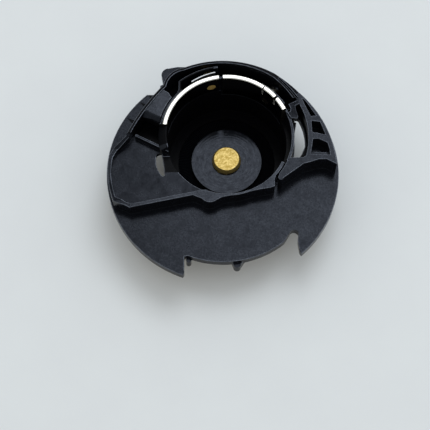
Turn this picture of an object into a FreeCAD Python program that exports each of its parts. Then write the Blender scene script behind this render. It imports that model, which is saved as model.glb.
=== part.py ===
import FreeCAD
import Part
import math
import os

# Drop-in bobbin case, in millimetres. The origin is where the well's axis meets the underside,
# +Z points out of the well, and -Y points to the two horns at the front.

# Levels above the underside
GROOVE_LEVEL = 1.1
FLOOR_LEVEL = 1.8
SEAT_LEVEL = 2.2
TOOTH_LEVELS = (6.2, 8.2)
FLANGE_BOTTOM = 7.6
WALL_FOOT = 8.0
SLOT_FLOOR = 9.0
FLANGE_TOP = 9.2
WINDOW_FLOOR = 10.4
DECK_BOTTOM = 10.8
UNDER_DECK_TOP = 11.1
SHELF_LEVEL = 11.4
WINDOW_STEP = 11.6
BOSS_TOP = 11.6
PLATFORM_BOTTOM = 11.6
DECK_TOP = 11.7
EAR_BOTTOM = 12.0
KERB_TOP = 12.15
LIP_TOP = 12.3
LEDGE_BOTTOM = 12.6
SIDE_WALL_TOP = 12.8
LINING_GAP_BOTTOM = 12.9
FIN_TOP = 12.9
BAFFLE_TOP = 13.0
LINING_LOW_EDGE = 13.1
LADDER_TOP = 13.2
EAR_TOP = 13.4
PLATFORM_TOP = 14.0
RIM_TOP = 14.2
PLATE_TOP = 14.6

# Well and cup, about the well's axis
WELL_AXIS = (0.0, 0.0)
SEAT_RADIUS = 6.5
GROOVE_RADIUS = 8.9
WELL_RADIUS = 10.7
CUP_RADIUS = 11.3
CUP_FOOT_RADIUS = 10.2
CUP_FOOT_HEIGHT = 1.1
LINING_EDGE = 10.95
HOLLOW_RADII = (11.42, 13.3)
RELIEF_RADIUS = 11.5
UNDER_DECK_RADIUS = 11.6
TONGUE_RADIUS = 11.65
SILL_RADIUS = 11.9
SIDE_WALL_RADIUS = 12.0
LINING_GAP_RADII = (12.0, 12.25)
FIN_RADIUS = 12.1
LINING_RADIUS = 12.2
LINING_OUTSIDE = 12.3
SLOT_HOLE_INNER = 12.25
SIDE_WALL_STOCK = 12.3
LEAF_WALL_INNER = 13.2
LEAF_WALL_OUTER = 13.55
RIB_RADIUS = 13.95
LADDER_FOOT_INNER = 14.65
LADDER_TOP_INNER = 14.45
POCKET_SIDE = -16.9
PLATFORM_FRONT = 4.5
PLATFORM_ROUND = 1.1

# Flange and its front bay, about the flange's axis
FLANGE_AXIS = (-0.75, -5.25)
FLANGE_RADIUS = 20.75
BAY_RADIUS = 17.1

# Centre post and the magnet under it
POST_RADIUS = 2.65
POST_TOP_RADIUS = 2.28
POST_HEIGHT = 1.1
POST_STRAIGHT = 0.5
STEM_RADIUS = 1.5
MAGNET_RADIUS = 3.0
KEEPER_RADIUS = 3.4
KEEPER_LEVELS = (0.0, 0.5)
MAGNET_TOP = 1.2

# Polished plates that line the well
PLATE_INNER = 10.75
PLATE_OUTER = 11.6
PLATE_ROOM = 0.05
PLATE_END_ROOM_DEGREES = 0.3
PLATE_EDGE = 0.25
TENSION_PLATE_SPAN = (97.5, 171.5)
TENSION_PLATE_BOTTOM = 10.0
TAB_SPAN = (164.0, 168.0)
TAB_DEPTH = 0.4
TAB_OVERLAP = 0.1
TAB_LEVELS = (10.6, 12.6)
GUIDE_PLATE_SPAN = (24.5, 93.5)
GUIDE_PLATE_BOTTOM = 8.4
NOTCHES = ((53.5, 0.25), (38.5, 0.5))
NOTCH_DEPTH = 2.2

# Leaf spring and screws
LEAF_THICKNESS = 0.25
LEAF_SPAN = (44.0, 121.5)
LEAF_FIXED_RADIUS = 12.6
LEAF_MIDDLE_RADIUS = 12.55
LEAF_FREE_RADIUS = 12.05
LEAF_LEVELS = (9.4, 14.0)
LEAF_LOW_TOP = 11.75
LEAF_STEP_ANGLE = 99.6
TENSION_LEAF_HOLE = 1.0
SPRING_LEAF_HOLE = 0.9
SCREW_RADIUS = 0.8
SCREW_ROOM = 0.03
HEAD_RADIUS = 1.0
HEAD_HEIGHT = 0.7
HEAD_ROOM_RADIUS = 1.25
HEAD_ROOM_END = 13.8
SLOT_WIDTH = 0.4
SLOT_DEPTH = 0.35
TENSION_SCREW_ANGLE = 105.0
TENSION_SCREW_LEVEL = 11.7
TENSION_HEAD_START = 12.85
SPRING_SCREW_ANGLE = 50.0
SPRING_SCREW_LEVEL = 10.6
SPRING_HEAD_START = 12.95
BOSS_SPAN = (43.0, 57.0)
BOSS_RADIUS = 12.45
ACCESS_RADIUS = 0.7

# Reach of cutting tools and of rough stock past the finished faces
BELOW = -1.0
ABOVE = 20.0
OUTSIDE = 25.0
INSIDE_WELL = 9.8
STOCK_STEP = 0.2


def polar(radius, degrees, axis=WELL_AXIS):
    """Plan point at a radius and an angle about an axis."""
    turn = math.radians(degrees)
    return (axis[0] + radius * math.cos(turn), axis[1] + radius * math.sin(turn))


def face_on(outline, place):
    """Face inside a closed outline. A step of two numbers is a line to that point, and a step
    of four is an arc through the first point to the second."""
    edges = []
    here = place(*outline[0])
    for step in outline[1:] + outline[:1]:
        there = place(*step[-2:])
        if len(step) == 4:
            edges.append(Part.Arc(here, place(*step[:2]), there).toShape())
        elif not here.isEqual(there, 1e-6):
            edges.append(Part.LineSegment(here, there).toShape())
        here = there
    return Part.Face(Part.Wire(edges))


def prism(outline, bottom, top):
    """Upright solid on a plan outline."""
    face = face_on(outline, lambda x, y: FreeCAD.Vector(x, y, bottom))
    return face.extrude(FreeCAD.Vector(0, 0, top - bottom))


def disc(radius, bottom, top, axis=WELL_AXIS):
    """Upright cylinder."""
    return Part.makeCylinder(radius, top - bottom, FreeCAD.Vector(*axis, bottom))


def sector(inner, outer, span, levels, axis=WELL_AXIS):
    """Part of an upright ring between two angles and two levels."""
    start, end = span
    half = (start + end) / 2
    outline = [
        polar(inner, start, axis),
        polar(outer, start, axis),
        polar(outer, half, axis) + polar(outer, end, axis),
        polar(inner, end, axis),
        polar(inner, half, axis) + polar(inner, start, axis),
    ]
    return prism(outline, *levels)


def turned(outline):
    """Solid turned about the well's axis from an outline of radii and levels."""
    face = face_on(outline, lambda radius, level: FreeCAD.Vector(radius, 0, level))
    return face.revolve(FreeCAD.Vector(0, 0, 0), FreeCAD.Vector(0, 0, 1), 360)


def pointing_out(radius, angle, level, start, end):
    """Level cylinder that points out from the well's axis."""
    turn = math.radians(angle)
    base = FreeCAD.Vector(*polar(start, angle), level)
    return Part.makeCylinder(radius, end - start, base, FreeCAD.Vector(math.cos(turn), math.sin(turn), 0))


def fuse(solids):
    """One solid from several that overlap."""
    whole = solids[0]
    for solid in solids[1:]:
        whole = whole.fuse(solid).removeSplitter()
    return whole


def cut(solid, tools):
    """A solid with several others taken out of it."""
    for tool in tools:
        solid = solid.cut(tool).removeSplitter()
    return solid


def through_openings():
    """The needle's bay between the two horns, the stop notch and the openings beside the well."""
    bay = [
        (-7.5, -21.35),
        polar(BAY_RADIUS, -111, FLANGE_AXIS),
        polar(BAY_RADIUS, -80, FLANGE_AXIS) + polar(BAY_RADIUS, -51, FLANGE_AXIS),
        (11.0, -16.95),
        (11.75, -16.35, 12.55, -16.95),
        (12.4, -18.4),
        (12.6, -19.8),
        (12.8, -20.5, 13.4, -21.0),
        (OUTSIDE, -OUTSIDE),
        (-8.3, -2 * OUTSIDE),
        (-8.3, -25.0),
        (-7.6, -24.6, -7.5, -23.9),
    ]
    stop_notch = [
        (-12.2, 9.6),
        (-13.2, 10.2),
        (-14.3, 10.2),
        (-15.1, 9.95, -15.75, 9.3),
        (-18.0, 12.0),
        (-16.0, 15.5),
        (-12.2, 15.5),
    ]
    left_opening = [
        (-18.6, -9.6),
        (-11.9, -8.8),
        (-12.5, -2.0),
        (-12.4, -0.6),
        (-17.2, -1.6),
        (-18.6, -2.7),
    ]
    return [
        prism(bay, BELOW, ABOVE),
        prism(stop_notch, BELOW, ABOVE),
        prism(left_opening, BELOW, DECK_BOTTOM),
        sector(*HOLLOW_RADII, (185, 206), (BELOW, DECK_BOTTOM)),
        *side_slot(),
    ]


def side_slot():
    """Slot between the side wall and the ladder, whose far face leans in, and the drop-shaped
    hole in its floor."""
    span = sector(SIDE_WALL_RADIUS, OUTSIDE, (-20.5, 32), (SLOT_FLOOR, ABOVE))
    reach = turned([
        (0, SLOT_FLOOR),
        (LADDER_FOOT_INNER, SLOT_FLOOR),
        (LADDER_TOP_INNER, LADDER_TOP),
        (LADDER_TOP_INNER, ABOVE),
        (0, ABOVE),
    ])
    hole = [
        polar(SLOT_HOLE_INNER, -14),
        polar(SLOT_HOLE_INNER, -3) + polar(SLOT_HOLE_INNER, 8),
        (12.65, 4.6),
        (12.85, 5.6, 13.2, 5.2),
        (14.03, 2.6, 14.12, -0.1),
        (13.5, -1.6),
        (12.6, -3.1),
    ]
    return [span.common(reach), prism(hole, BELOW, FLANGE_TOP)]


def bay_teeth():
    """Two small teeth under the bay's edge."""
    narrow = [(-7.2, -20), (-7.2, -21.6), (-6.75, -22.1, -6.3, -21.6), (-6.3, -20)]
    wide = [(0.5, -20), (0.7, -21.5), (1.15, -22.7), (1.75, -23.05, 2.4, -22.5), (3.4, -21.0), (3.4, -20)]
    return [prism(outline, *TOOTH_LEVELS) for outline in (narrow, wide)]


def cup():
    """Outside of the cup under the flange."""
    return turned([
        (0, 0),
        (CUP_FOOT_RADIUS, 0),
        (CUP_RADIUS, CUP_FOOT_HEIGHT),
        (CUP_RADIUS, WALL_FOOT),
        (0, WALL_FOOT),
    ])


def outer_wall():
    """Wall that runs from the pocket's front corner round the back and widens into the ladder."""
    return prism([
        (-17.1, -13.0),
        (-18.7, -12.6),
        (-20.0, -12.05),
        (-21.05, -7.0, -20.9, -3.6),
        (-20.0, -2.1),
        (-17.9, -0.3),
        (-15.1, 4.85, -11.4, 9.7),
        (-10.4, 11.75, -7.9, 13.1),
        (0.9, 14.5, 9.6, 11.35),
        (15.8, 5.3, 19.35, -5.5),
        (18.7, -5.1),
        (17.6, -4.5),
        (16.2, -4.5),
        (14.8, -5.0),
        (13.0, -5.5),
        (13.0, -4.4),
        polar(RIB_RADIUS, -15),
        polar(RIB_RADIUS, 22) + polar(RIB_RADIUS, 60),
        (1.5, 13.9, -7.7, 12.6),
        (-9.95, 11.4, -10.9, 9.35),
        (-14.6, 4.55, -17.4, -0.6),
        (-19.5, -2.7),
        (-20.2, -4.0),
        (-20.4, -7.0, -19.6, -11.3),
        (-18.4, -11.8),
        (-16.9, -12.75),
    ], WALL_FOOT, RIM_TOP)


def well_space():
    """Room for the bobbin: the well, its floor ring and the groove round the seat."""
    return turned([
        (0, SEAT_LEVEL),
        (SEAT_RADIUS, SEAT_LEVEL),
        (SEAT_RADIUS, GROOVE_LEVEL),
        (GROOVE_RADIUS, GROOVE_LEVEL),
        (GROOVE_RADIUS, FLOOR_LEVEL),
        (WELL_RADIUS, FLOOR_LEVEL),
        (WELL_RADIUS, ABOVE),
        (0, ABOVE),
    ])


def front_wall():
    """Lip between the well and the front crescent, with its bulge at the thread path."""
    lip = [
        (-18.9, -12.3),
        (-17.0, -13.35),
        (-6.0, -11.0),
        (-4.4, -11.7),
        (-3.2, -12.35, -1.8, -11.9),
        (-0.9, -11.4),
        (0.5, -11.1),
        (2.3, -10.85, 4.0, -10.35),
        (5.8, -9.9),
        (7.6, -9.6),
        (8.4, -9.3),
        (8.4, -8.1),
        polar(CUP_RADIUS, -40),
        polar(CUP_RADIUS, -31) + polar(CUP_RADIUS, -22),
        (9.0, -3.5),
        (0, -9.5),
        (-4.8, -10.05),
        (-16.5, -12.55),
        (-18.3, -12.2),
    ]
    return prism(lip, WALL_FOOT, LIP_TOP)


def pocket():
    """Left pocket: its deck and the baffle at its back."""
    deck = [
        (-19.9, -11.6),
        (-18.6, -12.1),
        (-17.0, -12.9),
        (-6.0, -10.5),
        (-1.0, -10.5),
        (0, -9.0),
        (-9.2, -2.6),
        (-16.6, 0.8),
        (-17.7, -0.5),
        (-19.8, -2.35),
        (-20.5, -3.8),
        (-20.7, -7.0, -19.9, -11.6),
    ]
    baffle = [(-16.2, 0.5), (-10.2, -2.6), (-10.4, -3.0), (-16.4, 0.1)]
    return [prism(deck, DECK_BOTTOM, DECK_TOP), prism(baffle, SHELF_LEVEL, BAFFLE_TOP)]


def back_corner():
    """The ear at the back left and the high platform inside it, rounded to the front."""
    ear = [
        (-11.5, 10.3),
        (-11.72, 11.6),
        (-11.6, 12.8, -10.6, 13.4),
        (-9.0, 13.72),
        (-7.4, 13.72),
        (-7.4, 12.9),
        (-10.2, 11.6, -11.1, 9.8),
    ]
    platform = [
        (-11.3, 8.75),
        (-10.4, 8.15),
        (-10.05, 7.5),
        (-8.6, 6.1),
        (-10.4, 1.45),
        (-15.45, 4.13),
        (-11.2, 9.3),
    ]
    block = prism(platform, PLATFORM_BOTTOM, PLATFORM_TOP)
    front_edges = []
    for edge in block.Edges:
        on_top = all(abs(vertex.Z - PLATFORM_TOP) < 1e-6 for vertex in edge.Vertexes)
        if on_top and edge.BoundBox.YMax < PLATFORM_FRONT:
            front_edges.append(edge)
    return [prism(ear, EAR_BOTTOM, EAR_TOP), block.makeFillet(PLATFORM_ROUND, front_edges)]


def lining_walls():
    """Walls behind the polished plates, with the step that gives the leaf room. Their inner
    faces lie at different radii inside the well, and the well takes them off."""
    stepped = [
        (-8.65, 8.35),
        polar(LEAF_WALL_OUTER, 129.7),
        polar(LEAF_WALL_OUTER, 113) + polar(LEAF_WALL_OUTER, 97),
        polar(LEAF_WALL_INNER, 97),
        polar(LEAF_WALL_INNER, 113) + polar(LEAF_WALL_INNER, 128.7),
        (-8.25, 8.35),
    ]
    stretches = [
        (LINING_RADIUS, (133, 194), RIM_TOP),
        (SILL_RADIUS, (90, 137), TENSION_PLATE_BOTTOM),
        (BOSS_RADIUS, BOSS_SPAN, BOSS_TOP),
        (SIDE_WALL_STOCK, (-24, 46), LADDER_TOP),
        (UNDER_DECK_RADIUS, (191, 250), UNDER_DECK_TOP),
        (FIN_RADIUS, (91.6, 100.2), FIN_TOP),
    ]
    walls = [prism(stepped, WALL_FOOT, RIM_TOP)]
    for number, (outer, span, top) in enumerate(stretches):
        inner = INSIDE_WELL - number * STOCK_STEP
        walls.append(sector(inner, outer, span, (WALL_FOOT, top)))
    return walls


def right_corner():
    """The tongue in front of the ladder and the step ledge behind the side wall."""
    tongue = [
        polar(TONGUE_RADIUS, -38),
        (9.0, -7.9),
        (9.25, -8.45, 9.9, -8.1),
        (14.2, -4.85),
        (14.9, -4.2),
        (14.6, -3.4),
        (13.4, -4.15),
        polar(TONGUE_RADIUS, -21),
        polar(TONGUE_RADIUS, -30) + polar(TONGUE_RADIUS, -38),
    ]
    ledge = [
        (12.9, 7.2),
        (11.0, 6.1),
        (11.4, 5.3),
        (11.3, 4.7),
        (10.75, 4.4),
        (11.4, 3.4),
        (12.6, 3.4),
        (12.75, 3.8),
        (12.35, 5.2),
        (12.25, 5.9),
        (13.5, 6.75),
    ]
    return [prism(tongue, WALL_FOOT, LADDER_TOP), prism(ledge, LEDGE_BOTTOM, RIM_TOP)]


def lining_cuts():
    """Narrow gap between the lining and the platform, and the slope on top of the lining's end."""
    gap = sector(*LINING_GAP_RADII, (137, 170.5), (LINING_GAP_BOTTOM, ABOVE))
    over = turned([
        (LINING_EDGE, RIM_TOP),
        (LINING_OUTSIDE, LINING_LOW_EDGE),
        (LINING_OUTSIDE, ABOVE),
        (LINING_EDGE, ABOVE),
    ])
    return [gap, over.common(sector(INSIDE_WELL, OUTSIDE, (172, 200), (DECK_TOP, ABOVE)))]


def rim_groove():
    """Thin groove between the rim and the rib inside it."""
    return prism([
        polar(14.42, 50),
        polar(14.47, 40) + polar(14.65, 30.5),
        polar(14.9, 30.5),
        polar(14.72, 40) + polar(14.67, 50),
    ], DECK_TOP, ABOVE)


def ladder_windows():
    """Spaces between the ladder's bars."""
    first = [(13.5, 7.4), (13.75, 7.35), (14.3, 6.65), (15.9, 4.05), (15.0, 3.95), (13.85, 6.6)]
    second = [(15.1, 3.0), (16.6, 2.8), (17.5, 0.3), (16.2, 0.6), (15.2, 0.8)]
    third = [(15.3, -0.6), (16.2, -0.5), (17.8, -1.3), (18.1, -2.4), (15.0, -2.4)]
    third_step = [(15.0, -2.4), (18.1, -2.4), (18.2, -3.6), (14.8, -3.5)]
    deep = [prism(outline, WINDOW_FLOOR, ABOVE) for outline in (first, second, third)]
    return deep + [prism(third_step, WINDOW_STEP, ABOVE)]


def rim_slopes():
    """Spaces over the rim where it falls to the ladder and to the pocket."""
    to_ladder = [(8.6, RIM_TOP), (12.9, LADDER_TOP), (OUTSIDE, LADDER_TOP), (OUTSIDE, ABOVE), (8.6, ABOVE)]
    to_pocket = [
        (0.2, RIM_TOP),
        (-2.4, SIDE_WALL_TOP),
        (-9.0, SIDE_WALL_TOP),
        (-12.0, KERB_TOP),
        (-OUTSIDE, KERB_TOP),
        (-OUTSIDE, ABOVE),
        (0.2, ABOVE),
    ]
    right = face_on(to_ladder, lambda x, z: FreeCAD.Vector(x, -OUTSIDE, z))
    left = face_on(to_pocket, lambda y, z: FreeCAD.Vector(-OUTSIDE, y, z))
    return [
        right.extrude(FreeCAD.Vector(0, 2 * OUTSIDE, 0)),
        left.extrude(FreeCAD.Vector(OUTSIDE + POCKET_SIDE, 0, 0)),
    ]


def thread_holes():
    """The hole beside the pocket and the sunk shelf next to it."""
    left_hole = [
        (-12.6, -3.5),
        (-12.3, -2.85, -11.6, -2.75),
        (-11.2, -5.2),
        (-11.05, -7.0),
        (-11.4, -7.2),
        (-12.3, -5.8, -12.6, -3.5),
    ]
    shelf = [(-11.8, -3.4), (-7.0, -3.4), (-7.0, -6.4), (-11.5, -6.4)]
    return [prism(left_hole, BELOW, ABOVE), prism(shelf, SHELF_LEVEL, ABOVE)]


def plate_rooms():
    """Recesses that take the polished plates."""
    guide_start, guide_end = GUIDE_PLATE_SPAN
    tension_start, tension_end = TENSION_PLATE_SPAN
    outer = PLATE_OUTER + PLATE_ROOM
    between = (guide_end + tension_start) / 2
    tension_room = (between, tension_end + PLATE_END_ROOM_DEGREES)
    tab_room = (TAB_SPAN[0] - PLATE_END_ROOM_DEGREES, TAB_SPAN[1] + PLATE_END_ROOM_DEGREES)
    return [
        sector(INSIDE_WELL, outer, (guide_start, between), (GUIDE_PLATE_BOTTOM, ABOVE)),
        sector(INSIDE_WELL, outer, tension_room, (TENSION_PLATE_BOTTOM, ABOVE)),
        sector(INSIDE_WELL, RELIEF_RADIUS, (-25, guide_start + 1), (TENSION_PLATE_BOTTOM, ABOVE)),
        sector(INSIDE_WELL, outer + TAB_DEPTH, tab_room, TAB_LEVELS),
    ]


def screw_rooms():
    """Holes for the screws and for the screwdriver that reaches them from outside."""
    tension = (TENSION_SCREW_ANGLE, TENSION_SCREW_LEVEL)
    spring = (SPRING_SCREW_ANGLE, SPRING_SCREW_LEVEL)
    return [
        pointing_out(HEAD_ROOM_RADIUS, *tension, LINING_RADIUS, HEAD_ROOM_END),
        pointing_out(ACCESS_RADIUS, *tension, TENSION_HEAD_START, OUTSIDE),
        pointing_out(ACCESS_RADIUS, *spring, SPRING_HEAD_START, OUTSIDE),
        pointing_out(SCREW_RADIUS, *spring, WELL_RADIUS, SPRING_HEAD_START),
    ]


def case_body():
    """The black moulding."""
    flange = disc(FLANGE_RADIUS, FLANGE_BOTTOM, FLANGE_TOP, FLANGE_AXIS)
    stock = cut(fuse([flange, cup(), outer_wall()] + lining_walls()), through_openings())
    solids = [stock, front_wall()] + bay_teeth() + pocket() + back_corner() + right_corner()
    magnet_room = disc(MAGNET_RADIUS, BELOW, MAGNET_TOP)
    keeper_room = disc(KEEPER_RADIUS, BELOW, KEEPER_LEVELS[1])
    stem_room = disc(STEM_RADIUS, BELOW, SEAT_LEVEL + POST_STRAIGHT)
    tools = [well_space(), magnet_room, keeper_room, stem_room, rim_groove()]
    tools += ladder_windows() + rim_slopes() + lining_cuts() + thread_holes() + plate_rooms() + screw_rooms()
    return cut(fuse(solids), tools)


def centre_post():
    """Brass post with a broad bevel, on a stem that goes through the floor."""
    return turned([
        (0, MAGNET_TOP),
        (STEM_RADIUS, MAGNET_TOP),
        (STEM_RADIUS, SEAT_LEVEL),
        (POST_RADIUS, SEAT_LEVEL),
        (POST_RADIUS, SEAT_LEVEL + POST_STRAIGHT),
        (POST_TOP_RADIUS, SEAT_LEVEL + POST_HEIGHT),
        (0, SEAT_LEVEL + POST_HEIGHT),
    ])


def plate(span, bottom):
    """Curved strip with both edges of its top eased."""
    strip = sector(PLATE_INNER, PLATE_OUTER, span, (bottom, PLATE_TOP))
    top_edges = []
    for edge in strip.Edges:
        on_top = all(abs(vertex.Z - PLATE_TOP) < 1e-6 for vertex in edge.Vertexes)
        if on_top and isinstance(edge.Curve, Part.Circle):
            top_edges.append(edge)
    return strip.makeFillet(PLATE_EDGE, top_edges)


def tension_plate():
    """Left plate, with the tension screw's threaded hole and the tab that holds its end."""
    tab = sector(PLATE_OUTER - TAB_OVERLAP, PLATE_OUTER + TAB_DEPTH, TAB_SPAN, TAB_LEVELS)
    place = (TENSION_SCREW_ANGLE, TENSION_SCREW_LEVEL)
    hole = pointing_out(SCREW_RADIUS + SCREW_ROOM, *place, INSIDE_WELL, BOSS_RADIUS)
    return cut(fuse([plate(TENSION_PLATE_SPAN, TENSION_PLATE_BOTTOM), tab]), [hole])


def guide_plate():
    """Right plate, with two thread notches in its top and a hole for the fixing screw."""
    tools = [pointing_out(SCREW_RADIUS, SPRING_SCREW_ANGLE, SPRING_SCREW_LEVEL, INSIDE_WELL, BOSS_RADIUS)]
    for angle, width in NOTCHES:
        half = math.degrees(width / 2 / PLATE_INNER)
        span = (angle - half, angle + half)
        tools.append(sector(INSIDE_WELL, BOSS_RADIUS, span, (PLATE_TOP - NOTCH_DEPTH, ABOVE)))
    return cut(plate(GUIDE_PLATE_SPAN, GUIDE_PLATE_BOTTOM), tools)


def tension_spring():
    """Thin leaf from the fixing screw round to the tension screw, closing on the plate, low at
    first and higher from the tension screw on."""
    start, end = LEAF_SPAN
    middle = (start + end) / 2
    outline = [
        polar(LEAF_FIXED_RADIUS, start),
        polar(LEAF_FIXED_RADIUS + LEAF_THICKNESS, start),
        polar(LEAF_MIDDLE_RADIUS + LEAF_THICKNESS, middle) + polar(LEAF_FREE_RADIUS + LEAF_THICKNESS, end),
        polar(LEAF_FREE_RADIUS, end),
        polar(LEAF_MIDDLE_RADIUS, middle) + polar(LEAF_FIXED_RADIUS, start),
    ]
    tools = [
        sector(PLATE_OUTER, LEAF_WALL_OUTER, (0, LEAF_STEP_ANGLE), (LEAF_LOW_TOP, ABOVE)),
        pointing_out(TENSION_LEAF_HOLE, TENSION_SCREW_ANGLE, TENSION_SCREW_LEVEL, PLATE_OUTER, OUTSIDE),
        pointing_out(SPRING_LEAF_HOLE, SPRING_SCREW_ANGLE, SPRING_SCREW_LEVEL, PLATE_OUTER, OUTSIDE),
    ]
    return cut(prism(outline, *LEAF_LEVELS), tools)


def slotted_screw(angle, level, head_start):
    """Cheese-headed screw that points out from the well's wall."""
    head_end = head_start + HEAD_HEIGHT
    shank = pointing_out(SCREW_RADIUS, angle, level, PLATE_INNER, head_start)
    head = pointing_out(HEAD_RADIUS, angle, level, head_start, head_end)
    slot_base = FreeCAD.Vector(head_end - SLOT_DEPTH, -SLOT_WIDTH / 2, level - HEAD_RADIUS)
    slot = Part.makeBox(HEAD_HEIGHT, SLOT_WIDTH, 2 * HEAD_RADIUS, slot_base)
    slot.rotate(FreeCAD.Vector(0, 0, 0), FreeCAD.Vector(0, 0, 1), angle)
    return cut(fuse([shank, head]), [slot])


def nodes():
    """Every piece by its name."""
    return {
        "case_body": case_body(),
        "centre_post": centre_post(),
        "holding_magnet": disc(MAGNET_RADIUS, KEEPER_LEVELS[1], MAGNET_TOP),
        "magnet_keeper": disc(KEEPER_RADIUS, *KEEPER_LEVELS),
        "tension_plate": tension_plate(),
        "thread_guide_plate": guide_plate(),
        "tension_spring": tension_spring(),
        "tension_screw": slotted_screw(TENSION_SCREW_ANGLE, TENSION_SCREW_LEVEL, TENSION_HEAD_START),
        "spring_screw": slotted_screw(SPRING_SCREW_ANGLE, SPRING_SCREW_LEVEL, SPRING_HEAD_START),
    }


def main():
    """Write one file per piece and print what it measures."""
    os.makedirs("parts", exist_ok=True)
    for name, shape in nodes().items():
        box = shape.BoundBox
        corners = (box.XMin, box.YMin, box.ZMin, box.XMax, box.YMax, box.ZMax)
        reach = [round(value, 2) for value in corners]
        print(name, len(shape.Solids), shape.isValid(), round(shape.Volume, 2), reach)
        shape.exportStep(f"parts/{name}.step")


if __name__ == "__main__":
    main()
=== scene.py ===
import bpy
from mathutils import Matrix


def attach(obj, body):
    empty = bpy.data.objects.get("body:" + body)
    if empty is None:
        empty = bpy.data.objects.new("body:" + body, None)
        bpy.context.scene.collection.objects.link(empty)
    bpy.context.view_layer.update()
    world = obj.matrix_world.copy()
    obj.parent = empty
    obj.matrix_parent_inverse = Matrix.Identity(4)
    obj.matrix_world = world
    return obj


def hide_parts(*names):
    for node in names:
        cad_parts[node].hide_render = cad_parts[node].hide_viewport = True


bl_info = {
    "name": "Bobbin case",
    "version": (1, 0, 0),
    "blender": (4, 5, 0),
    "location": "View3D > Sidebar > Bobbin case",
    "description": "Finishes and fine details for a drop-in bobbin case, on a plain stage",
    "category": "Object",
}

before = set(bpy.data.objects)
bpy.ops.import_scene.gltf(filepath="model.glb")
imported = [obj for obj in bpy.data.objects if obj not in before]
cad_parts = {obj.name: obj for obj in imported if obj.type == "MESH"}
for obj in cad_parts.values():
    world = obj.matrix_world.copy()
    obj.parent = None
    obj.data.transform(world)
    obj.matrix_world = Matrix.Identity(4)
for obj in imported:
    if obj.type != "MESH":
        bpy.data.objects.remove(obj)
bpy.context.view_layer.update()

import math

import bmesh
import bpy
from bpy.props import FloatProperty, FloatVectorProperty, IntProperty, PointerProperty
from mathutils import Matrix, Vector

MM = 0.001
WELL_AXIS = Vector((0, 0, 0))
UP = Vector((0, 0, 1))

# Levels above the underside, in millimetres
GROOVE_LEVEL = 1.1
STEM_FOOT = 1.2
SEAT_LEVEL = 2.2
POST_SHOULDER = 2.7
POST_TOP = 3.3
UNDER_FLANGE = 6.8
FLANGE_TOP = 9.2
SHELF_LEVEL = 11.4
DECK_TOP = 11.7
LIP_TOP = 12.3
BAFFLE_TOP = 13.0
LADDER_TOP = 13.2
EAR_TOP = 13.4
PLATFORM_TOP = 14.0
RIM_LOW_EDGE = 14.1

# Radii about the well's axis, in millimetres
STEM_RADIUS = 1.5
POST_TOP_RADIUS = 2.28
POST_RADIUS = 2.65
SEAT_RADIUS = 6.5
GROOVE_RADIUS = 8.9
WELL_RADIUS = 10.7
RELIEF_OUTSIDE = 11.7
LINING_OUTSIDE = 12.35
KERB_OUTSIDE = 13.5
LEAF_ROOM_OUTSIDE = 16.5
BAFFLE_OUTSIDE = 17.5
SHANK_RADII = (10.8, 12.8)
SLOT_RADII = (11.9, 14.7)

# Angles about the well's axis, in degrees from +X
RELIEF_SPAN = (-25.0, 26.0)
SLOT_SPAN = (-21.0, 33.0)
KERB_SPAN = (98.0, 134.0)
LINING_END = 171.0

# Plan limits of stretches of the moulding, in millimetres
KERB_FRONT = 8.5
KERB_RIGHT = -2.0
SHELF_ACROSS = (-12.0, -7.0)
SHELF_ALONG = (-6.5, -3.3)
LEAF_ROOM_FRONT = 5.0
RIGHT_WALL_LEFT = 8.6
LEDGE_LEFT = 10.5
LEDGE_BACK = 7.4

# Hollow behind the pocket's baffle, in millimetres: a point on the baffle's back and the way that
# it faces, where the hollow begins and ends along that way, and its right end
BAFFLE_POINT = Vector((-16.2, 0.5))
BAFFLE_FACING = Vector((0.459, 0.888))
BAFFLE_GAP = (-0.02, 3.9)
BAFFLE_RIGHT = -9.5

# A place this close to a level or a radius, in millimetres, is on it
NEAR = 0.05

# Upright share of the normal of a face that looks up, stands or looks down
LOOKS_UP = 0.85
STANDS = 0.6
LOOKS_DOWN = -0.5

# Faces that turn by more than the first angle, in degrees, meet in an edge that gets rounded, and
# faces that turn by less than the second are shaded as one
SHARP_ANGLE = 28.0
SHADING_ANGLE = 50.0

# Shortest top edges that get rounded, in millimetres
SHORTEST_TOP_EDGE = 0.3
SHORTEST_LIP_EDGE = 0.25

# Points closer than this are joined
JOIN_DISTANCE = 0.001 * MM

# Facets of a full circle
ROUND_STEPS = 96

# Ribbed ring: its height over the groove's floor and its depth into it, in millimetres, and the
# share of a normal along the ring at which a face is a rib's lit flank
RING_LIFT = 0.02
RING_DEPTH = 0.1
LIT_FLANK = 0.2

# The post's top is rubbed clean where its normal is more upright than this
CLEAN_TOP = 0.9

# Share of a normal along a plate's curve at which a face is a cut end
CUT_END = 0.7

# Material slots of the moulding and of the plates
SATIN, HOLLOW_SHADE, INSERT, RUBBED_HIGHLIGHT, SHADE_TOP, HIGHLIGHT_TOP = range(6)
BUFFED, SHADOWED_CUT, SHADOWED = range(3)

# Inputs and output of a colour mix, which has several of the same name
MIX_FACTOR, MIX_FIRST, MIX_SECOND = 0, 6, 7
MIX_COLOUR = 2

# Nearly all of a noise lies between these values
NOISE_RANGE = {"From Min": 0.3, "From Max": 0.7}

# The rings of a wave texture repeat at this distance, at a scale of 1
RING_SPACING = 0.314

# Stage: sizes and places in metres, angles in degrees
PAPER_RADIUS = 3.0
PAPER_LEVEL = -0.02 * MM
KEY_SIZE = 0.34
KEY_POWER = 1.0
KEY_PLACE = (0.096, 0.252, 0.534)
ROOM_TOP = (0.14, 0.37, 0.92)
ROOM_STRENGTH = 0.95
CAMERA_PLACE = (-0.00213, -0.10287, 0.23027)
CAMERA_TILT = 22.0
CAMERA_LENS = 113.02
CAMERA_NEAREST = 0.01


def linear(colour):
    """Linear colour of an sRGB hex value."""
    channels = [int(colour[start:start + 2], 16) / 255 for start in (1, 3, 5)]
    return tuple(c / 12.92 if c <= 0.04045 else ((c + 0.055) / 1.055) ** 2.4 for c in channels)


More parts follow.
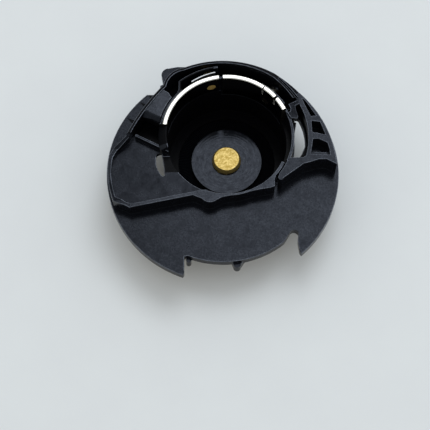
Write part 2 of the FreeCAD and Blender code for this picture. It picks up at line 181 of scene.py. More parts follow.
def opaque(colour):
    """A colour with full alpha, as a colour socket takes it."""
    return (*colour, 1.0)


def per_metre(millimetres):
    """Texture scale at which one feature is this many millimetres wide."""
    return 1 / (millimetres * MM)


def add_node(tree, kind, settings=None, values=None, links=None):
    """Add one node with its settings and input values, and link its inputs to what feeds them."""
    made = tree.nodes.new(kind)
    for key, value in (settings or {}).items():
        setattr(made, key, value)
    for key, value in (values or {}).items():
        made.inputs[key].default_value = value
    for key, source in (links or {}).items():
        tree.links.new(source, made.inputs[key])
    return made


def new_finish(name, values):
    """Material with one shader set to these values, and the piece's own coordinates to build on."""
    finish = bpy.data.materials.new(name)
    finish.use_nodes = True
    tree = finish.node_tree
    tree.nodes.clear()
    shader = add_node(tree, "ShaderNodeBsdfPrincipled", values=values)
    add_node(tree, "ShaderNodeOutputMaterial", links={"Surface": shader.outputs["BSDF"]})
    where = add_node(tree, "ShaderNodeTexCoord").outputs["Object"]
    return finish, tree, shader, where


# Refraction of ABS, and the faint blue of what black ABS reflects
ABS_IOR = 1.54
ABS_SHEEN = opaque(linear("#E3ECFF"))


def moulded_abs(name, colours, shine_gain, cloudiness):
    """Black ABS from a spark-eroded mould: satin and faintly blue, with slow cloudy changes of
    gloss and a fine grain that breaks up the light. The gain gives a stretch of it less shine,
    as painted shade, or more, as a painted highlight."""
    finish, tree, shader, where = new_finish(name, {"IOR": ABS_IOR, "Specular Tint": ABS_SHEEN})
    clouds = add_node(
        tree, "ShaderNodeTexNoise",
        values={"Scale": per_metre(2.2), "Detail": 5.0, "Roughness": 0.65, "Distortion": 0.6},
        links={"Vector": where},
    )
    tint = add_node(
        tree, "ShaderNodeMix",
        settings={"data_type": "RGBA"},
        values={MIX_FIRST: opaque(colours.moulding_deep), MIX_SECOND: opaque(colours.moulding)},
        links={MIX_FACTOR: clouds.outputs["Fac"]},
    )
    gloss = add_node(
        tree, "ShaderNodeMapRange",
        values={**NOISE_RANGE, "To Min": 0.17, "To Max": 0.25},
        links={"Value": clouds.outputs["Fac"]},
    )
    # The real grain is under 0.1 mm, and is drawn at 0.3 mm so that it shows.
    grain = add_node(
        tree, "ShaderNodeTexNoise",
        values={"Scale": per_metre(0.3), "Detail": 3.0, "Roughness": 0.7},
        links={"Vector": where},
    )
    speckle = add_node(
        tree, "ShaderNodeMapRange",
        values={**NOISE_RANGE, "To Min": 0.09 * shine_gain, "To Max": 0.19 * shine_gain},
        links={"Value": grain.outputs["Fac"]},
    )
    haze = add_node(
        tree, "ShaderNodeMapRange",
        values={**NOISE_RANGE, "To Min": 1 - cloudiness, "To Max": 1 + cloudiness},
        links={"Value": clouds.outputs["Fac"]},
    )
    shine = add_node(
        tree, "ShaderNodeMath",
        settings={"operation": "MULTIPLY"},
        links={0: speckle.outputs["Result"], 1: haze.outputs["Result"]},
    )
    grained = add_node(
        tree, "ShaderNodeBump",
        values={"Strength": 0.2, "Distance": 0.03 * MM},
        links={"Height": grain.outputs["Fac"]},
    )
    tree.links.new(tint.outputs[MIX_COLOUR], shader.inputs["Base Color"])
    tree.links.new(gloss.outputs["Result"], shader.inputs["Roughness"])
    tree.links.new(shine.outputs[0], shader.inputs["Specular IOR Level"])
    tree.links.new(grained.outputs["Normal"], shader.inputs["Normal"])
    return finish


def turned_insert_abs(colours):
    """Black ABS off a lathed mould insert, on the seat: glossier than the outside, with fine
    turned rings and short arcs where bobbins have rubbed."""
    finish, tree, shader, where = new_finish("turned_insert_abs", {
        "Base Color": opaque(colours.moulding),
        "IOR": ABS_IOR,
        "Specular Tint": ABS_SHEEN,
    })
    # Turned rings are about 0.1 mm apart, and are drawn 0.5 mm apart so that they show.
    rings = add_node(
        tree, "ShaderNodeTexWave",
        settings={"wave_type": "RINGS", "rings_direction": "Z"},
        values={
            "Scale": RING_SPACING * per_metre(0.5),
            "Distortion": 1.2,
            "Detail": 2.0,
            "Detail Scale": 2.0,
        },
        links={"Vector": where},
    )
    ringed = add_node(
        tree, "ShaderNodeBump",
        values={"Strength": 0.1, "Distance": 0.02 * MM},
        links={"Height": rings.outputs["Fac"]},
    )
    # Short arcs: 0.4 mm across the radius, and 24 to a turn round the axis.
    turn = add_node(
        tree, "ShaderNodeTexGradient", settings={"gradient_type": "RADIAL"}, links={"Vector": where},
    )
    radius = add_node(tree, "ShaderNodeVectorMath", settings={"operation": "LENGTH"}, links={0: where})
    round_axis = add_node(
        tree, "ShaderNodeCombineXYZ", links={"X": radius.outputs["Value"], "Y": turn.outputs["Fac"]},
    )
    stretched = add_node(
        tree, "ShaderNodeMapping",
        values={"Scale": (per_metre(0.4), 24.0, 1.0)},
        links={"Vector": round_axis.outputs["Vector"]},
    )
    arcs = add_node(
        tree, "ShaderNodeTexNoise",
        values={"Scale": 1.0, "Detail": 6.0, "Roughness": 0.8},
        links={"Vector": stretched.outputs["Vector"]},
    )
    shine = add_node(
        tree, "ShaderNodeMapRange",
        values={**NOISE_RANGE, "To Min": 0.05, "To Max": 0.25},
        links={"Value": arcs.outputs["Fac"]},
    )
    gloss = add_node(
        tree, "ShaderNodeMapRange",
        values={**NOISE_RANGE, "To Min": 0.1, "To Max": 0.17},
        links={"Value": arcs.outputs["Fac"]},
    )
    tree.links.new(gloss.outputs["Result"], shader.inputs["Roughness"])
    tree.links.new(shine.outputs["Result"], shader.inputs["Specular IOR Level"])
    tree.links.new(ringed.outputs["Normal"], shader.inputs["Normal"])
    return finish


def painted_hollow_shade_abs(colours):
    """Painted shade: a deeper black ABS for the well and the hollows about it, where shadow
    falls, that gives back little light, with faint draw lines up the walls."""
    finish, tree, shader, where = new_finish("painted_hollow_shade_abs", {
        "IOR": ABS_IOR,
        "Specular IOR Level": 0.03,
    })
    pull = add_node(
        tree, "ShaderNodeMapping",
        values={"Scale": (per_metre(0.5), per_metre(0.5), per_metre(8.0))},
        links={"Vector": where},
    )
    lines = add_node(
        tree, "ShaderNodeTexNoise",
        values={"Scale": 1.0, "Detail": 3.0, "Roughness": 0.6},
        links={"Vector": pull.outputs["Vector"]},
    )
    tint = add_node(
        tree, "ShaderNodeMix",
        settings={"data_type": "RGBA"},
        values={MIX_FIRST: opaque(colours.core), MIX_SECOND: opaque(colours.moulding_deep)},
        links={MIX_FACTOR: lines.outputs["Fac"]},
    )
    gloss = add_node(
        tree, "ShaderNodeMapRange",
        values={**NOISE_RANGE, "To Min": 0.26, "To Max": 0.36},
        links={"Value": lines.outputs["Fac"]},
    )
    drawn = add_node(
        tree, "ShaderNodeBump",
        values={"Strength": 0.05, "Distance": 0.02 * MM},
        links={"Height": lines.outputs["Fac"]},
    )
    tree.links.new(tint.outputs[MIX_COLOUR], shader.inputs["Base Color"])
    tree.links.new(gloss.outputs["Result"], shader.inputs["Roughness"])
    tree.links.new(drawn.outputs["Normal"], shader.inputs["Normal"])
    return finish


def rubbed_highlight_abs(colours):
    """Black ABS on top edges, partly rubbed by thread and fingers and partly a painted highlight:
    a brighter gloss that draws each edge as a thin light line, broken here and there. The edges
    are narrower than a line that shows, so their gloss is set stronger than the plastic's own."""
    finish, tree, shader, where = new_finish("rubbed_highlight_abs", {
        "Base Color": opaque(colours.moulding),
        "Roughness": 0.3,
        "IOR": 1.9,
        "Specular Tint": ABS_SHEEN,
    })
    wear = add_node(
        tree, "ShaderNodeTexNoise",
        values={"Scale": per_metre(1.2), "Detail": 4.0, "Roughness": 0.7},
        links={"Vector": where},
    )
    shine = add_node(
        tree, "ShaderNodeMapRange",
        values={**NOISE_RANGE, "To Min": 0.3, "To Max": 0.9},
        links={"Value": wear.outputs["Fac"]},
    )
    tree.links.new(shine.outputs["Result"], shader.inputs["Specular IOR Level"])
    return finish


def turned_brass(colours):
    """Lathe-turned brass, handled and slightly dulled: rings about its axis and mottled patches
    of brighter and duller yellow."""
    finish, tree, shader, where = new_finish("turned_brass", {"Metallic": 1.0})
    mottle = add_node(
        tree, "ShaderNodeTexNoise",
        values={"Scale": per_metre(0.65), "Detail": 7.0, "Roughness": 0.85},
        links={"Vector": where},
    )
    # Tool marks are about 0.05 mm apart, and are drawn 0.25 mm apart so that they show.
    rings = add_node(
        tree, "ShaderNodeTexWave",
        settings={"wave_type": "RINGS", "rings_direction": "Z"},
        values={"Scale": RING_SPACING * per_metre(0.25), "Distortion": 2.0, "Detail": 2.0},
        links={"Vector": where},
    )
    patches = add_node(
        tree, "ShaderNodeMapRange",
        values={"From Min": 0.42, "From Max": 0.58},
        links={"Value": mottle.outputs["Fac"]},
    )
    tint = add_node(
        tree, "ShaderNodeMix",
        settings={"data_type": "RGBA"},
        values={MIX_FIRST: opaque(colours.brass_dull), MIX_SECOND: opaque(colours.brass)},
        links={MIX_FACTOR: patches.outputs["Result"]},
    )
    gloss = add_node(
        tree, "ShaderNodeMapRange",
        values={"To Min": 0.58, "To Max": 0.42},
        links={"Value": mottle.outputs["Fac"]},
    )
    worn = add_node(
        tree, "ShaderNodeBump",
        values={"Strength": 0.3, "Distance": 0.02 * MM},
        links={"Height": mottle.outputs["Fac"]},
    )
    ringed = add_node(
        tree, "ShaderNodeBump",
        values={"Strength": 0.12, "Distance": 0.01 * MM},
        links={"Height": rings.outputs["Fac"], "Normal": worn.outputs["Normal"]},
    )
    tree.links.new(tint.outputs[MIX_COLOUR], shader.inputs["Base Color"])
    tree.links.new(gloss.outputs["Result"], shader.inputs["Roughness"])
    tree.links.new(ringed.outputs["Normal"], shader.inputs["Normal"])
    return finish


def drawn_metal(name, clean, dull, streak, roughness, bare=1.0):
    """Metal strip or rod, polished or machined along its run: fine streaks that follow the run,
    between a clean and a dulled tone. The streak's width and length are in millimetres, the two
    roughnesses are of the clean and of the dulled tone, and bare is the share of the surface that
    isn't under tarnish."""
    finish, tree, shader, where = new_finish(name, {"Metallic": bare})
    width, length = streak
    run = add_node(
        tree, "ShaderNodeMapping",
        values={"Scale": (per_metre(length), per_metre(length), per_metre(width))},
        links={"Vector": where},
    )
    streaks = add_node(
        tree, "ShaderNodeTexNoise",
        values={"Scale": 1.0, "Detail": 4.0, "Roughness": 0.65},
        links={"Vector": run.outputs["Vector"]},
    )
    tint = add_node(
        tree, "ShaderNodeMix",
        settings={"data_type": "RGBA"},
        values={MIX_FIRST: opaque(dull), MIX_SECOND: opaque(clean)},
        links={MIX_FACTOR: streaks.outputs["Fac"]},
    )
    gloss = add_node(
        tree, "ShaderNodeMapRange",
        values={**NOISE_RANGE, "To Min": roughness[1], "To Max": roughness[0]},
        links={"Value": streaks.outputs["Fac"]},
    )
    marks = add_node(
        tree, "ShaderNodeBump",
        values={"Strength": 0.06, "Distance": 0.01 * MM},
        links={"Height": streaks.outputs["Fac"]},
    )
    tree.links.new(tint.outputs[MIX_COLOUR], shader.inputs["Base Color"])
    tree.links.new(gloss.outputs["Result"], shader.inputs["Roughness"])
    tree.links.new(marks.outputs["Normal"], shader.inputs["Normal"])
    return finish


def matt_paper(colours):
    """Pale matt paper: almost no shine, and faint cloudy changes of tone."""
    finish, tree, shader, where = new_finish("matt_paper", {"Roughness": 0.9, "Specular IOR Level": 0.2})
    clouds = add_node(
        tree, "ShaderNodeTexNoise",
        values={"Scale": per_metre(14.0), "Detail": 5.0, "Roughness": 0.6},
        links={"Vector": where},
    )
    tint = add_node(
        tree, "ShaderNodeMix",
        settings={"data_type": "RGBA"},
        values={MIX_FIRST: opaque(colours.floor_shade), MIX_SECOND: opaque(colours.floor)},
        links={MIX_FACTOR: clouds.outputs["Fac"]},
    )
    tree.links.new(tint.outputs[MIX_COLOUR], shader.inputs["Base Color"])
    return finish


def joined_copy(node):
    """A node's shape with its loose triangles joined."""
    shape = bmesh.new()
    shape.from_mesh(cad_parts[node].data)
    bmesh.ops.remove_doubles(shape, verts=shape.verts[:], dist=JOIN_DISTANCE)
    return shape


def spun(profile, steps):
    """Shape spun about the well's axis from a profile of radii and levels in millimetres."""
    shape = bmesh.new()
    points = [shape.verts.new((radius * MM, 0, level * MM)) for radius, level in profile]
    edges = [shape.edges.new(pair) for pair in zip(points, points[1:])]
    bmesh.ops.spin(
        shape, geom=points + edges, cent=WELL_AXIS, axis=UP, angle=math.tau, steps=steps, use_merge=True,
    )
    bmesh.ops.remove_doubles(shape, verts=shape.verts[:], dist=JOIN_DISTANCE)
    bmesh.ops.recalc_face_normals(shape, faces=shape.faces[:])
    return shape


def corners(shape, sharper_than):
    """Edges where two faces turn by more than an angle in degrees."""
    limit = math.radians(sharper_than)
    return [edge for edge in shape.edges if edge.calc_face_angle(0) > limit]


def round_edges(shape, edges, width, segments=2, shortest=3.0):
    """Round the edges that are long enough, as a multiple of the width, and return the new faces."""
    long_enough = [edge for edge in edges if edge.calc_length() > shortest * width]
    made = bmesh.ops.bevel(
        shape, geom=long_enough, offset=width, offset_type="OFFSET", segments=segments,
        profile=0.5, affect="EDGES", clamp_overlap=False, material=-1, loop_slide=True,
    )
    return made["faces"]


def round_the_axis(face):
    """Direction round the well's axis at a face."""
    return UP.cross(face.calc_center_median()).normalized()


def shading_normals(shape, rounded):
    """Normal of each corner of each face, from the flat faces that meet there where there are any,
    so that a rounding is shaded within its own width."""
    limit = math.cos(math.radians(SHADING_ANGLE))
    sized = {face: face.normal * face.calc_area() for face in shape.faces}
    normals = []
    for face in shape.faces:
        for vert in face.verts:
            near = [other for other in vert.link_faces if other.normal.dot(face.normal) > limit]
            flat = [other for other in near if other not in rounded]
            total = sum((sized[other] for other in flat or near), Vector())
            normals.append(total.normalized())
    return normals


def place_piece(shape, name, finishes, body, nodes=(), rounded=()):
    """Turn a finished bmesh into a smoothly shaded piece with its materials, on its body."""
    shape.normal_update()
    for face in shape.faces:
        face.smooth = True
    for edge in corners(shape, SHADING_ANGLE):
        edge.smooth = False
    normals = shading_normals(shape, set(rounded))
    mesh = bpy.data.meshes.new(name)
    shape.to_mesh(mesh)
    shape.free()
    mesh.normals_split_custom_set(normals)
    for finish in finishes:
        mesh.materials.append(finish)
    piece = bpy.data.objects.new(name, mesh)
    bpy.context.scene.collection.objects.link(piece)
    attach(piece, body)
    if nodes:
        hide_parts(*nodes)


def between(value, limits):
    """Whether a value lies between two limits."""
    return limits[0] < value < limits[1]


def lies_at(place, level):
    """Whether a place lies at a level, both in millimetres."""
    return abs(place.z - level) < NEAR


def bearing(place):
    """Angle of a place about the well's axis, in degrees from +X."""
    return math.degrees(math.atan2(place.y, place.x))


def on_kerb(place):
    """Whether a place is on the kerb behind the tension plate."""
    behind_plate = place.y > KERB_FRONT and between(bearing(place), KERB_SPAN)
    return behind_plate and place.xy.length < KERB_OUTSIDE and place.z > FLANGE_TOP


def at_lining_end(place):
    """Whether a place is at the left end of the wall that lines the well."""
    return place.xy.length < LINING_OUTSIDE and abs(bearing(place)) > LINING_END and place.z > DECK_TOP


def in_a_hollow(place):
    """Whether a place is in the well or in one of the hollows about it."""
    radius = place.xy.length
    angle = bearing(place)
    beside_well = UNDER_FLANGE < place.z < BAFFLE_TOP
    from_baffle = (place.xy - BAFFLE_POINT).dot(BAFFLE_FACING)
    in_well = radius < WELL_RADIUS + NEAR and place.z < LIP_TOP
    in_relief = beside_well and radius < RELIEF_OUTSIDE and between(angle, RELIEF_SPAN)
    in_slot = beside_well and between(radius, SLOT_RADII) and between(angle, SLOT_SPAN)
    on_shelf = (
        lies_at(place, SHELF_LEVEL)
        and between(place.x, SHELF_ACROSS) and between(place.y, SHELF_ALONG)
    )
    behind_baffle = (
        place.x < BAFFLE_RIGHT and between(from_baffle, BAFFLE_GAP)
        and radius < BAFFLE_OUTSIDE and FLANGE_TOP - NEAR < place.z < BAFFLE_TOP
    )
    behind_leaf = lies_at(place, FLANGE_TOP) and place.y > LEAF_ROOM_FRONT and radius < LEAF_ROOM_OUTSIDE
    return in_well or in_relief or in_slot or on_shelf or behind_baffle or behind_leaf


def on_rim(place):
    """Whether a place is on the rim, or on the wall at the right that it falls to."""
    on_ledge = place.x > LEDGE_LEFT and place.y < LEDGE_BACK
    right_wall = place.z > LADDER_TOP + NEAR and place.x > RIGHT_WALL_LEFT
    return (place.z > RIM_LOW_EDGE or right_wall) and not on_ledge


def moulding_slot(face):
    """Material slot of a face of the moulding, by where it lies and which way it looks."""
    place = face.calc_center_median() / MM
    up = face.normal.z > LOOKS_UP
    if face.normal.z < LOOKS_DOWN:
        return SATIN
    if up and place.xy.length < SEAT_RADIUS + NEAR and lies_at(place, SEAT_LEVEL):
        return INSERT
    # Painted shade: the well, the hollows about it, the lining's end, the kerb and the rim's top get the
    # darker black that gives back little light.
    if in_a_hollow(place) or at_lining_end(place) or on_kerb(place) or up and on_rim(place):
        return HOLLOW_SHADE
    # Painted highlight: the lip's and the platform's tops get more shine than the satin.
    if up and (lies_at(place, LIP_TOP) or lies_at(place, PLATFORM_TOP)):
        return HIGHLIGHT_TOP
    # Painted shade: the deck's and the ear's tops get less shine than the satin.
    if up and (lies_at(place, DECK_TOP) or lies_at(place, EAR_TOP)):
        return SHADE_TOP
    return SATIN


def gets_rubbed_highlight(edge):
    """Whether an edge gets the rubbed edges' gloss, partly wear and partly a painted highlight: it is
    long enough to round, runs between a face that looks up and one that stands below it, and isn't
    down in the well or next to the plates."""
    standing, top = (face.normal for face in sorted(edge.link_faces, key=lambda face: face.normal.z))
    place = edge.verts[0].co / MM
    in_well = place.xy.length < WELL_RADIUS + NEAR and place.z < DECK_TOP - NEAR
    on_lining_end = at_lining_end(place) and place.z > LIP_TOP + NEAR
    inside_kerb = on_kerb(place) and place.x < KERB_RIGHT and standing.dot(place) < 0
    shortest = SHORTEST_LIP_EDGE if lies_at(place, LIP_TOP) else SHORTEST_TOP_EDGE
    if in_well or on_lining_end or inside_kerb or edge.calc_length() < shortest * MM:
        return False
    return edge.is_convex and abs(standing.z) < STANDS and top.z > LOOKS_UP


class BobbinCaseSizes(bpy.types.PropertyGroup):
    """Sizes of the fine details."""

    moulding_top_round: FloatProperty(
        name="Moulding top edges", description="Width of the rounding on the moulding's top edges",
        default=0.1 * MM, min=0, unit="LENGTH", precision=5,
    )
    moulding_round: FloatProperty(
        name="Moulding edges", description="Width of the rounding on the moulding's other edges",
        default=0.05 * MM, min=0, unit="LENGTH", precision=5,
    )
    leaf_round: FloatProperty(
        name="Leaf edges", description="Width of the rounding on the leaf spring's edges",
        default=0.04 * MM, min=0, unit="LENGTH", precision=5,
    )
    screw_round: FloatProperty(
        name="Screw edges", description="Width of the rounding on the screws and the post",
        default=0.06 * MM, min=0, unit="LENGTH", precision=5,
    )
    rib_count: IntProperty(
        name="Ribs", description="Number of fine radial ribs in the groove round the seat",
        default=160, min=12,
    )
    rib_height: FloatProperty(
        name="Rib height", description="Height of the fine radial ribs",
        default=0.16 * MM, min=0, unit="LENGTH", precision=5,
    )


class BobbinCaseColours(bpy.types.PropertyGroup):
    """Colours of the finishes."""

    moulding: FloatVectorProperty(
        name="Moulding", description="Lighter tone of the black moulding",
        default=linear("#0C0E13"), size=3, min=0, max=1, subtype="COLOR",
    )
    moulding_deep: FloatVectorProperty(
        name="Moulding, deep", description="Deeper tone of the black moulding",
        default=linear("#090A0E"), size=3, min=0, max=1, subtype="COLOR",
    )
    # Painted shade: the darker black of the well, the hollows about it, the rim's top and the ribs' shaded
    # flanks.
    core: FloatVectorProperty(
        name="Core", description="Deepest tone of the black in the well and the hollows about it",
        default=linear("#060607"), size=3, min=0, max=1, subtype="COLOR",
    )
    brass: FloatVectorProperty(
        name="Brass", description="Clean tone of the brass",
        default=linear("#D9C07C"), size=3, min=0, max=1, subtype="COLOR",
    )
    brass_dull: FloatVectorProperty(
        name="Brass, dulled", description="Dulled tone of the brass",
        default=linear("#A98D44"), size=3, min=0, max=1, subtype="COLOR",
    )
    nickel: FloatVectorProperty(
        name="Nickel", description="Clean tone of the nickel on the plates and the magnet",
        default=linear("#E6E3DC"), size=3, min=0, max=1, subtype="COLOR",
    )
    nickel_dull: FloatVectorProperty(
        name="Nickel, dulled", description="Dulled tone of the nickel on the plates and the magnet",
        default=linear("#C9C5BC"), size=3, min=0, max=1, subtype="COLOR",
    )
    steel: FloatVectorProperty(
        name="Steel", description="Clean tone of the steel keeper",
        default=linear("#C4C6C8"), size=3, min=0, max=1, subtype="COLOR",
    )
    steel_dull: FloatVectorProperty(
        name="Steel, dulled", description="Dulled tone of the steel keeper, and clean tone of the leaf",
        default=linear("#9A9DA1"), size=3, min=0, max=1, subtype="COLOR",
    )
    # Also the painted shade on the plates' cut ends and hollow side and on the screws' shanks.
    metal_dark: FloatVectorProperty(
        name="Metal, dark", description="Clean tone of oiled and unpolished metal, and dull tone of the leaf",
        default=linear("#5A5750"), size=3, min=0, max=1, subtype="COLOR",
    )
    metal_deep: FloatVectorProperty(
        name="Metal, deep", description="Dulled tone of oiled and unpolished metal",
        default=linear("#2A2824"), size=3, min=0, max=1, subtype="COLOR",
    )
    floor: FloatVectorProperty(
        name="Floor", description="Lighter tone of the paper that the case lies on",
        default=linear("#DCE1E2"), size=3, min=0, max=1, subtype="COLOR",
    )
    floor_shade: FloatVectorProperty(
        name="Floor, shaded", description="Deeper tone of the paper that the case lies on",
        default=linear("#D6DADC"), size=3, min=0, max=1, subtype="COLOR",
    )


class BOBBIN_OT_moulding(bpy.types.Operator):
    """Make the black moulding with finely rounded edges"""

    bl_idname = "bobbin.moulding"
    bl_label = "Case moulding"

    def execute(self, context):
        sizes = context.scene.bobbin_sizes
        colours = context.scene.bobbin_colours
        shape = joined_copy("case_body")
        for face in shape.faces:
            face.material_index = moulding_slot(face)
        tops = [edge for edge in corners(shape, SHARP_ANGLE) if gets_rubbed_highlight(edge)]
        for face in round_edges(shape, tops, sizes.moulding_top_round, segments=3, shortest=2.5):
            face.material_index = RUBBED_HIGHLIGHT
        shape.normal_update()
        rest = [
            edge for edge in corners(shape, SHARP_ANGLE)
            if all(face.material_index != RUBBED_HIGHLIGHT for face in edge.link_faces)
        ]
        rounded = round_edges(shape, rest, sizes.moulding_round)
        rounded += [face for face in shape.faces if face.material_index == RUBBED_HIGHLIGHT]
        finishes = [
            moulded_abs("satin_moulded_abs", colours, shine_gain=1.0, cloudiness=0.3),
            painted_hollow_shade_abs(colours),
            turned_insert_abs(colours),
            rubbed_highlight_abs(colours),
            moulded_abs("painted_shade_moulded_abs", colours, shine_gain=0.8, cloudiness=0.5),
            moulded_abs("painted_highlight_moulded_abs", colours, shine_gain=1.45, cloudiness=0.4),
        ]
        place_piece(shape, "case_moulding", finishes, "case", ["case_body"], rounded)
        return {"FINISHED"}


class BOBBIN_OT_ribbed_ring(bpy.types.Operator):
    """Make the ring of fine radial ribs on the floor of the groove round the seat"""

    bl_idname = "bobbin.ribbed_ring"
    bl_label = "Ribbed ring"

    def execute(self, context):
        sizes = context.scene.bobbin_sizes
        level = GROOVE_LEVEL + RING_LIFT
        shape = spun([(SEAT_RADIUS, level), (GROOVE_RADIUS, level)], 2 * sizes.rib_count)
        base = bmesh.ops.extrude_face_region(shape, geom=shape.faces[:])["geom"]
        under = {item for item in base if isinstance(item, bmesh.types.BMVert)}
        bmesh.ops.translate(shape, verts=list(under), vec=-UP * RING_DEPTH * MM)
        half_pitch = 180 / sizes.rib_count
        ridges = [
            vert for vert in shape.verts
            if vert not in under and round(bearing(vert.co) / half_pitch) % 2
        ]
        bmesh.ops.translate(shape, verts=ridges, vec=UP * sizes.rib_height)
        bmesh.ops.recalc_face_normals(shape, faces=shape.faces[:])
        shape.normal_update()
        # Painted light: flanks that face round the ring get the painted highlight, the others the painted
        # hollow shade.
        for face in shape.faces:
            face.material_index = int(face.normal.dot(round_the_axis(face)) > LIT_FLANK)
        finishes = [bpy.data.materials[name] for name in ("painted_hollow_shade_abs", "painted_highlight_moulded_abs")]
        place_piece(shape, "ribbed_ring", finishes, "case")
        return {"FINISHED"}


class BOBBIN_OT_centre_post(bpy.types.Operator):
    """Make the turned brass post that the bobbin turns on"""

    bl_idname = "bobbin.centre_post"
    bl_label = "Centre post"

    def execute(self, context):
        sizes = context.scene.bobbin_sizes
        colours = context.scene.bobbin_colours
        shape = spun([
            (0, STEM_FOOT),
            (STEM_RADIUS, STEM_FOOT),
            (STEM_RADIUS, SEAT_LEVEL),
            (POST_RADIUS, SEAT_LEVEL),
            (POST_RADIUS, POST_SHOULDER),
            (POST_TOP_RADIUS, POST_TOP),
            (0, POST_TOP),
        ], ROUND_STEPS)
        rounded = round_edges(shape, corners(shape, SHARP_ANGLE), sizes.screw_round, segments=3)
        for face in shape.faces:
            face.material_index = int(face.normal.z < CLEAN_TOP)
        # Brass that bobbins don't rub, on the side and the bevel: duller, under a thin tarnish.
        tarnished = drawn_metal(
            "tarnished_brass", colours.brass, colours.brass_dull,
            streak=(0.1, 2.0), roughness=(0.3, 0.45), bare=0.6,
        )
        finishes = [turned_brass(colours), tarnished]
        place_piece(shape, "brass_post", finishes, "case", ["centre_post"], rounded)
        return {"FINISHED"}


class BOBBIN_OT_thread_plates(bpy.types.Operator):
    """Make the two polished plates that line the well"""

    bl_idname = "bobbin.thread_plates"
    bl_label = "Thread plates"

    def execute(self, context):
        colours = context.scene.bobbin_colours
        # Polished nickel plate: a near mirror with faint buffing streaks along the curve.
        buffed = drawn_metal(
            "polished_nickel", colours.nickel, colours.nickel_dull,
            streak=(0.12, 3.0), roughness=(0.1, 0.2),
        )
        # Painted shade on the nickel's cut ends and in the notches: dark and rough.
        cut = drawn_metal(
            "shadowed_cut_nickel", colours.metal_dark, colours.metal_deep,
            streak=(0.3, 0.3), roughness=(0.4, 0.6),
        )
        # Painted shade on the nickel's hollow side, which faces the well: smooth and nearly black.
        shadowed = drawn_metal(
            "shadowed_nickel", colours.metal_dark, colours.metal_deep,
            streak=(0.12, 3.0), roughness=(0.1, 0.2),
        )
        for node, name in (
            ("tension_plate", "tension_plate_polished"),
            ("thread_guide_plate", "guide_plate_polished"),
        ):
            shape = joined_copy(node)
            for face in shape.faces:
                looks_in = face.normal.dot(face.calc_center_median()) < 0
                if abs(face.normal.dot(round_the_axis(face))) > CUT_END:
                    face.material_index = SHADOWED_CUT
                elif abs(face.normal.z) < STANDS and looks_in:
                    face.material_index = SHADOWED
                else:
                    face.material_index = BUFFED
            place_piece(shape, name, [buffed, cut, shadowed], "case", [node])
        return {"FINISHED"}


class BOBBIN_OT_tension_leaf(bpy.types.Operator):
    """Make the thin leaf spring behind the plates"""

    bl_idname = "bobbin.tension_leaf"
    bl_label = "Tension leaf"

    def execute(self, context):
        sizes = context.scene.bobbin_sizes
        colours = context.scene.bobbin_colours
        # Cold-rolled spring steel: grey, with fine rolling streaks along the strip.
        rolled = drawn_metal(
            "rolled_spring_steel", colours.steel_dull, colours.metal_dark,
            streak=(0.15, 4.0), roughness=(0.24, 0.4),
        )
        shape = joined_copy("tension_spring")
        rounded = round_edges(shape, corners(shape, SHARP_ANGLE), sizes.leaf_round)
        place_piece(
            shape, "tension_leaf", [rolled], "tension_spring", ["tension_spring"], rounded,
        )
        return {"FINISHED"}


class BOBBIN_OT_screws(bpy.types.Operator):
    """Make the brass tension screw and the steel fixing screw"""

    bl_idname = "bobbin.screws"
    bl_label = "Screws"

    def execute(self, context):
        sizes = context.scene.bobbin_sizes
        colours = context.scene.bobbin_colours
        # Machined brass: short tool streaks under tarnish, duller than the post's top.
        brass = drawn_metal(
            "machined_brass", colours.brass, colours.brass_dull,
            streak=(0.2, 0.5), roughness=(0.4, 0.6), bare=0.55,
        )
        # Blackened steel: dark grey, with short tool streaks.
        steel = drawn_metal(
            "blackened_steel", colours.metal_dark, colours.metal_deep,
            streak=(0.2, 0.5), roughness=(0.3, 0.46),
        )
        # Painted shade on the shanks, between the plate and the heads: dark and rough.
        shadowed = drawn_metal(
            "shadowed_thread", colours.metal_dark, colours.metal_deep,
            streak=(0.3, 0.3), roughness=(0.4, 0.6),
        )
        for node, name, finish, body, slot in (
            ("tension_screw", "adjusting_screw", brass, "tension_screw", "screw_brass"),
            ("spring_screw", "fixing_screw", steel, "case", "screw_steel"),
        ):
            shape = joined_copy(node)
            for face in shape.faces:
                radius = face.calc_center_median().xy.length / MM
                face.material_index = int(between(radius, SHANK_RADII))
            rounded = round_edges(shape, corners(shape, SHARP_ANGLE), sizes.screw_round)
            place_piece(shape, name, [finish, shadowed], body, [node], rounded)
        return {"FINISHED"}


class BOBBIN_OT_magnet(bpy.types.Operator):
    """Give the magnet and its keeper their metal finishes"""

    bl_idname = "bobbin.magnet"
    bl_label = "Magnet and keeper"

    def execute(self, context):
        colours = context.scene.bobbin_colours
        # Nickel plating on the magnet: bright, with a faint uneven gloss.
        plated = drawn_metal(
            "plated_magnet", colours.nickel, colours.nickel_dull,
            streak=(0.6, 0.6), roughness=(0.16, 0.3),
        )
        # Blanked steel disc: duller, with broad rolling streaks.
        blanked = drawn_metal(
            "blanked_steel", colours.steel, colours.steel_dull,
            streak=(0.5, 1.2), roughness=(0.3, 0.46),
        )
        for node, finish in (("holding_magnet", plated), ("magnet_keeper", blanked)):
            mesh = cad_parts[node].data
            mesh.materials.clear()
            mesh.materials.append(finish)
        return {"FINISHED"}


def lay_paper(scene):
    """Paper floor that the case lies on."""
    shape = bmesh.new()
    bmesh.ops.create_circle(
        shape, cap_ends=True, segments=ROUND_STEPS, radius=PAPER_RADIUS,
        matrix=Matrix.Translation(UP * PAPER_LEVEL),
    )
    mesh = bpy.data.meshes.new("paper_floor")
    shape.to_mesh(mesh)
    shape.free()
    mesh.materials.append(matt_paper(scene.bobbin_colours))
    floor = bpy.data.objects.new("paper_floor", mesh)
    scene.collection.objects.link(floor)


